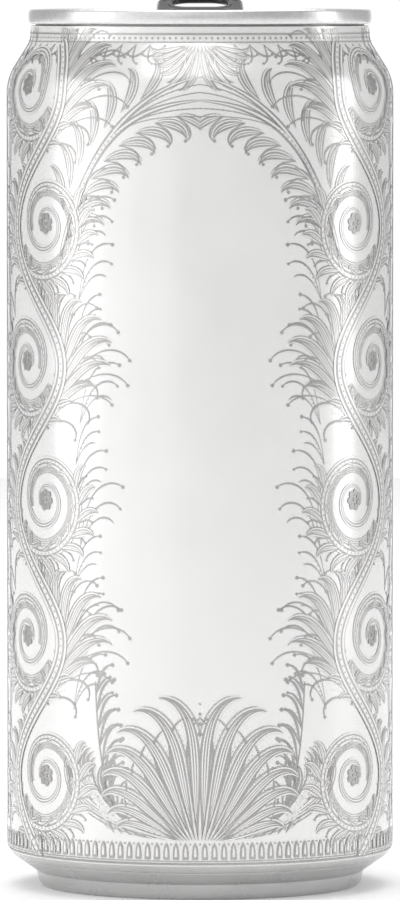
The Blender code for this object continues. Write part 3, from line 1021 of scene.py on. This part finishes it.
def end_relief(x, y):
    """Height of the pressed end over its panel's level, in metres."""
    belt = belt_distance(x, y, POCKET_FRONT_Y, POCKET_FRONT_RADIUS, POCKET_REAR_Y, POCKET_REAR_RADIUS)
    height = -(POCKET_DEPTH - PANEL_DEPTH) * rise(belt, POCKET_EDGE)
    mx, my = x, y - MOUTH_CENTRE_Y
    mouth = ellipse_distance(mx, my, MOUTH_HALF_WIDTH, MOUTH_HALF_LENGTH)
    turn = np.abs(np.arctan2(mx, my))
    scored = rise(SCORE_GAP / 2 - turn, 0.06)
    height -= SCORE_DEPTH * scored * np.exp(-((mouth / SCORE_WIDTH) ** 2))
    height += FOLD_HEIGHT * scored * np.exp(-(((mouth + FOLD_INSET) / FOLD_WIDTH) ** 2))
    bead = ellipse_distance(mx, my, MOUTH_HALF_WIDTH - BEAD_INSET, MOUTH_HALF_LENGTH - BEAD_INSET)
    beaded = rise((math.pi - BEAD_SPAN / 2) - turn, 0.3)
    height += BEAD_HEIGHT * beaded * np.exp(-((bead / BEAD_WIDTH) ** 2))
    well = ellipse_distance(x, y - WELL_Y, WELL_HALF_WIDTH, WELL_HALF_LENGTH)
    height -= WELL_DEPTH * rise(well, WELL_EDGE)
    boss = np.hypot(x, y) - (BOSS_RADIUS + BOSS_FOOT_RADIUS) / 2
    height += BOSS_HEIGHT * rise(boss, 1.3 * (BOSS_FOOT_RADIUS - BOSS_RADIUS))
    dimple = np.hypot(np.abs(x) - DIMPLE_X, y)
    height += DIMPLE_HEIGHT * np.exp(-((dimple / DIMPLE_WIDTH) ** 2))
    return height


def end_piece():
    """The end from the middle of its panel, over the seam, and back under it to the axis."""
    panel = HEIGHT - PANEL_DEPTH
    floor = HEIGHT - COUNTERSINK_DEPTH
    seam_low = HEIGHT - SEAM_HEIGHT
    under = HEIGHT - PLUG_FLOOR_DEPTH
    outer_foot = chuck_radius_at(floor)
    panel_foot = outer_foot - COUNTERSINK_WIDTH
    edge = panel_foot - 0.3 * MM
    corners = [
        (0.0, panel, 0.0, 0),
        (edge, panel, PANEL_BEND, 6),
        (panel_foot, floor, COUNTERSINK_WIDTH / 2 * 0.8, 7),
        (outer_foot, floor, COUNTERSINK_WIDTH / 2 * 0.8, 7),
        (SEAM_INNER_RADIUS, HEIGHT, SEAM_BEND, 8),
        (SEAM_RADIUS - 2 * SEAM_BULGE, HEIGHT, SEAM_BEND, 8),
        (SEAM_RADIUS, HEIGHT - 0.45 * SEAM_HEIGHT, 4.0 * MM, 10),
        (SEAM_RADIUS - 2 * SEAM_BULGE, seam_low, 0.45 * MM, 7),
        (NECK_RADIUS, seam_low, 0.0, 0),
        (plug_radius_at(seam_low), seam_low, 0.0, 0),
        (plug_radius_at(under), under, 0.0, 0),
        (0.0, under, 0.0, 0),
    ]
    outline = filleted(corners)
    flat = int(outline[1].x / END_RING_STEP)
    rings = [Vector((outline[1].x * k / flat, panel)) for k in range(flat)]
    obj = turned("end_shell", rings + outline[1:], BRUSHED, END_SEGMENTS)
    mesh = obj.data
    place = np.empty(len(mesh.vertices) * 3)
    mesh.vertices.foreach_get("co", place)
    place = place.reshape(-1, 3)
    top = np.abs(place[:, 2] - panel) < 1e-7
    place[top, 2] += end_relief(place[top, 0], place[top, 1])
    mesh.vertices.foreach_set("co", place.ravel())
    mesh.update()
    return obj


def rivet_piece():
    """The rivet's stem and flattened head, over its boss."""
    sunk = POCKET_FLOOR + BOSS_HEIGHT - 0.2 * MM
    head_top = HEAD_BOTTOM + HEAD_HEIGHT
    corners = [
        (0.0, head_top - 0.18 * MM, 0.0, 0),
        (HEAD_RADIUS * 0.55, head_top - 0.18 * MM, 0.5 * MM, 6),
        (HEAD_RADIUS * 0.72, head_top, 0.3 * MM, 6),
        (HEAD_RADIUS, head_top, 0.3 * MM, 6),
        (HEAD_RADIUS, HEAD_BOTTOM, 0.1 * MM, 3),
        (STEM_RADIUS, HEAD_BOTTOM, 0.0, 0),
        (STEM_RADIUS, sunk, 0.0, 0),
        (0.0, sunk, 0.0, 0),
    ]
    return turned("rivet_button", filleted(corners), BRUSHED, 96)


# Tab


def rounded_box(near_y, far_y, near_half, far_half, near_corner, far_corner, inset=0.0, steps=12):
    """A loop round a box with rounded corners, drawn in by the inset."""
    near_y, far_y = near_y + inset, far_y - inset
    near_half, far_half = near_half - inset, far_half - inset
    near_corner, far_corner = near_corner - inset, far_corner - inset
    return filleted(
        [
            (near_half, near_y, near_corner, steps),
            (far_half, far_y, far_corner, steps),
            (-far_half, far_y, far_corner, steps),
            (-near_half, near_y, near_corner, steps),
        ]
    )


def curve_object(name, loops, dimensions):
    curve = bpy.data.curves.new(name, "CURVE")
    curve.dimensions = dimensions
    for loop in loops:
        spline = curve.splines.new("POLY")
        spline.points.add(len(loop) - 1)
        for point, place in zip(spline.points, loop):
            point.co = (place.x, place.y, 0.0, 1.0)
        spline.use_cyclic_u = True
    obj = bpy.data.objects.new(name, curve)
    CAN.objects.link(obj)
    return obj


def plate(name, loops, thickness, bend, matrix):
    """A flat plate with rounded edges. The first loop is its outline and the others are holes."""
    obj = curve_object(name, loops, "2D")
    obj.data.fill_mode = "BOTH"
    obj.data.extrude = thickness / 2 - bend
    obj.data.bevel_depth = bend
    obj.data.bevel_resolution = 3
    obj.data.offset = -bend
    return meshed(obj, matrix)


def curl(name, loop, radius, matrix):
    """A closed round bar along a loop, as a sheet's curled edge."""
    obj = curve_object(name, [loop], "3D")
    obj.data.bevel_depth = radius
    obj.data.bevel_resolution = 5
    return meshed(obj, matrix)


def meshed(obj, matrix):
    """Replaces a curve object by a closed mesh object, set in place."""
    bpy.context.view_layer.update()
    graph = bpy.context.evaluated_depsgraph_get()
    mesh = bpy.data.meshes.new_from_object(obj.evaluated_get(graph))
    mesh.transform(matrix)
    work = bmesh.new()
    work.from_mesh(mesh)
    bmesh.ops.remove_doubles(work, verts=work.verts, dist=1e-6)
    bmesh.ops.recalc_face_normals(work, faces=work.faces)
    work.to_mesh(mesh)
    work.free()
    name = obj.name
    old = obj.data
    bpy.data.objects.remove(obj)
    bpy.data.curves.remove(old)
    made = bpy.data.objects.new(name, mesh)
    CAN.objects.link(made)
    return made


def fused(name, first, others, finish):
    """One closed mesh of several that overlap."""
    for other in others:
        modifier = first.modifiers.new("Union", "BOOLEAN")
        modifier.operation = "UNION"
        modifier.solver = "EXACT"
        modifier.object = other
    bpy.context.view_layer.update()
    graph = bpy.context.evaluated_depsgraph_get()
    mesh = bpy.data.meshes.new_from_object(first.evaluated_get(graph))
    for old in [first, *others]:
        bpy.data.objects.remove(old)
    mesh.shade_smooth()
    mesh.set_sharp_from_angle(angle=math.radians(32))
    mesh.materials.clear()
    mesh.materials.append(finish)
    made = bpy.data.objects.new(name, mesh)
    CAN.objects.link(made)
    return made


def tab_piece():
    """The frame with its curled edges and the web tilt up together. The tongue on the rivet stays level."""
    tilt = (
        Matrix.Translation((0.0, HINGE_Y, TONGUE_MIDDLE))
        @ Matrix.Rotation(TAB_TILT, 4, "X")
        @ Matrix.Translation((0.0, -HINGE_Y, 0.0))
    )
    lifted = tilt @ Matrix.Translation((0.0, 0.0, FRAME_LIFT))
    level = Matrix.Translation((0.0, 0.0, TONGUE_MIDDLE))
    outer = (
        TAB_NOSE_Y,
        TAB_HEEL_Y,
        TAB_NOSE_HALF_WIDTH,
        TAB_HEEL_HALF_WIDTH,
        TAB_NOSE_CORNER,
        TAB_CORNER,
    )
    ring_hole = (
        RING_HOLE_NEAR_Y,
        RING_HOLE_FAR_Y,
        RING_HOLE_HALF_WIDTH,
        RING_HOLE_HALF_WIDTH,
        2.4 * MM,
        TAB_CORNER - RIM_WIDTH,
    )
    window = (
        WINDOW_NEAR_Y,
        WINDOW_FAR_Y,
        WINDOW_HALF_WIDTH,
        WINDOW_HALF_WIDTH,
        2.4 * MM,
        1.6 * MM,
    )
    r = FRAME_THICKNESS / 2
    sheet_loops = [
        rounded_box(*outer, inset=r),
        rounded_box(*ring_hole, inset=-r * 0.8),
        rounded_box(*window, inset=-r * 0.8),
    ]
    frame_plate = plate("tab_plate", sheet_loops, FRAME_THICKNESS * 0.62, 0.0, lifted)
    outer_curl = curl("tab_edge", rounded_box(*outer, inset=r), r, lifted)
    ring_curl = curl("ring_edge", rounded_box(*ring_hole, inset=-r * 0.86), r * 0.86, lifted)
    window_curl = curl("window_edge", rounded_box(*window, inset=-r * 0.8), r * 0.8, lifted)
    web_loops = [
        rounded_box(*window, inset=-WEB_OVERLAP, steps=6),
        rounded_box(
            SLOT_NEAR_Y,
            SLOT_FAR_Y,
            SLOT_HALF_WIDTH,
            SLOT_HALF_WIDTH,
            0.5 * MM,
            3.5 * MM,
            steps=10,
        ),
    ]
    web = plate("tab_web", web_loops, WEB_THICKNESS, 0.06 * MM, tilt)
    hole = [
        Vector((RIVET_HOLE_RADIUS * math.sin(a), RIVET_HOLE_RADIUS * math.cos(a)))
        for a in np.linspace(0.0, math.tau, 48, endpoint=False)
    ]
    strip = rounded_box(
        TONGUE_NEAR_Y,
        TONGUE_FAR_Y,
        TONGUE_HALF_WIDTH,
        TONGUE_HALF_WIDTH,
        0.4 * MM,
        2.8 * MM,
        steps=10,
    )
    tongue = plate("tab_tongue", [strip, hole], WEB_THICKNESS, 0.05 * MM, level)
    others = [frame_plate, ring_curl, window_curl, web, tongue]
    return fused("black_tab", outer_curl, others, BLACK)


dress(wall_piece(), "printed_wall", "can_body")
dress(base_piece(), "bare_aluminium", "can_body")
for half, shift in (("front", 0.0), ("back", math.pi)):
    dress(print_piece("silver_print_" + half, ("motif", "detail"), INK, shift), "silver_ink")
    dress(print_piece("white_print_" + half, ("halo", "vein"), LACQUER, shift), "printed_wall")
dress(end_piece(), "bare_aluminium", "can_end")
dress(rivet_piece(), "bare_aluminium", "can_end")
dress(tab_piece(), "black_tab", "pull_tab")


# Camera, floor and light


def make_camera():
    data = bpy.data.cameras.new("camera")
    data.sensor_fit = "AUTO"
    data.sensor_width = SENSOR
    data.lens = FOCAL_PIXELS / FRAME_HEIGHT_PIXELS * SENSOR
    data.clip_start = 0.05
    data.clip_end = 60.0
    camera = bpy.data.objects.new("camera", data)
    camera.location = (0.0, -CAMERA_DISTANCE, CAMERA_HEIGHT)
    camera.rotation_euler = (math.pi / 2 - CAMERA_PITCH, 0.0, 0.0)
    STUDIO.objects.link(camera)
    bpy.context.scene.camera = camera


FLOOR_RADIUS = 1.2
FLOOR_GLOW = 0.12  # keeps the paper white out to its edge
FLOOR_DARK = (0.91, 0.91, 0.91)
FLOOR_LIGHT = (0.93, 0.93, 0.93)


def make_floor():
    finish, nodes, links, shader = new_material("floor_paint")
    clouds = add_noise(nodes, links, 2.0, 2.0)
    tint = add_tint(nodes, links, clouds.outputs["Fac"], FLOOR_DARK, FLOOR_LIGHT)
    links.new(tint, shader.inputs["Base Color"])
    shader.inputs["Roughness"].default_value = 0.9
    shader.inputs["Specular IOR Level"].default_value = 0.1
    shader.inputs["Emission Color"].default_value = (1.0, 1.0, 1.0, 1.0)
    shader.inputs["Emission Strength"].default_value = FLOOR_GLOW
    work = bmesh.new()
    bmesh.ops.create_circle(work, cap_ends=True, segments=96, radius=FLOOR_RADIUS)
    mesh = bpy.data.meshes.new("floor")
    work.to_mesh(mesh)
    work.free()
    mesh.materials.append(finish)
    floor = bpy.data.objects.new("floor", mesh)
    STUDIO.objects.link(floor)


def soft_box(name, azimuth, distance, height, width, length, power, aim_height=0.08):
    """An area light round the can. Azimuth 0 is in front, at -Y, and 90 is at the viewer's right."""
    data = bpy.data.lights.new(name, "AREA")
    data.shape = "RECTANGLE"
    data.size = width
    data.size_y = length
    data.energy = power
    light = bpy.data.objects.new(name, data)
    a = math.radians(azimuth)
    light.location = (math.sin(a) * distance, -math.cos(a) * distance, height)
    aim = Vector((0.0, 0.0, aim_height)) - light.location
    light.rotation_euler = aim.to_track_quat("-Z", "Y").to_euler()
    light.visible_camera = False
    STUDIO.objects.link(light)


WORLD_DIM = 0.54
WORLD_BACK = 1.02  # straight behind the can, as a white backdrop
BACK_EDGE_OUTER = math.cos(math.radians(22))
BACK_EDGE_INNER = math.cos(math.radians(12))


def make_world():
    """An even soft surround, whiter straight behind the can."""
    world = bpy.data.worlds.new("studio")
    world.use_nodes = True
    nodes = world.node_tree.nodes
    links = world.node_tree.links
    place = nodes.new("ShaderNodeTexCoord")
    facing = nodes.new("ShaderNodeVectorMath")
    facing.operation = "DOT_PRODUCT"
    facing.inputs[1].default_value = (0.0, 1.0, 0.0)
    links.new(place.outputs["Generated"], facing.inputs[0])
    spread = nodes.new("ShaderNodeMapRange")
    spread.interpolation_type = "SMOOTHSTEP"
    spread.inputs["From Min"].default_value = BACK_EDGE_OUTER
    spread.inputs["From Max"].default_value = BACK_EDGE_INNER
    spread.inputs["To Min"].default_value = WORLD_DIM
    spread.inputs["To Max"].default_value = WORLD_BACK
    links.new(facing.outputs["Value"], spread.inputs["Value"])
    background = nodes["Background"]
    background.inputs["Color"].default_value = (1.0, 1.0, 1.0, 1.0)
    links.new(spread.outputs["Result"], background.inputs["Strength"])
    bpy.context.scene.world = world


make_camera()
make_floor()
make_world()
soft_box("left_box", -78.0, 0.9, 0.1, 0.5, 0.9, 2.0)
soft_box("left_wall", -66.0, 1.1, 0.3, 1.1, 1.2, 0.9)
soft_box("front_left_box", -38.0, 1.9, 0.7, 1.8, 1.6, 3.0)
soft_box("front_box", 0.0, 2.2, 0.9, 2.0, 1.2, 2.1)
soft_box("right_box", 94.0, 0.9, 0.1, 0.26, 0.9, 1.5)
soft_box("top_back_box", 180.0, 0.45, 1.3, 1.2, 1.2, 9.5, 0.0)
soft_box("top_front_box", -10.0, 0.8, 1.4, 1.2, 1.0, 6.0)

bpy.context.scene.view_settings.view_transform = "Standard"
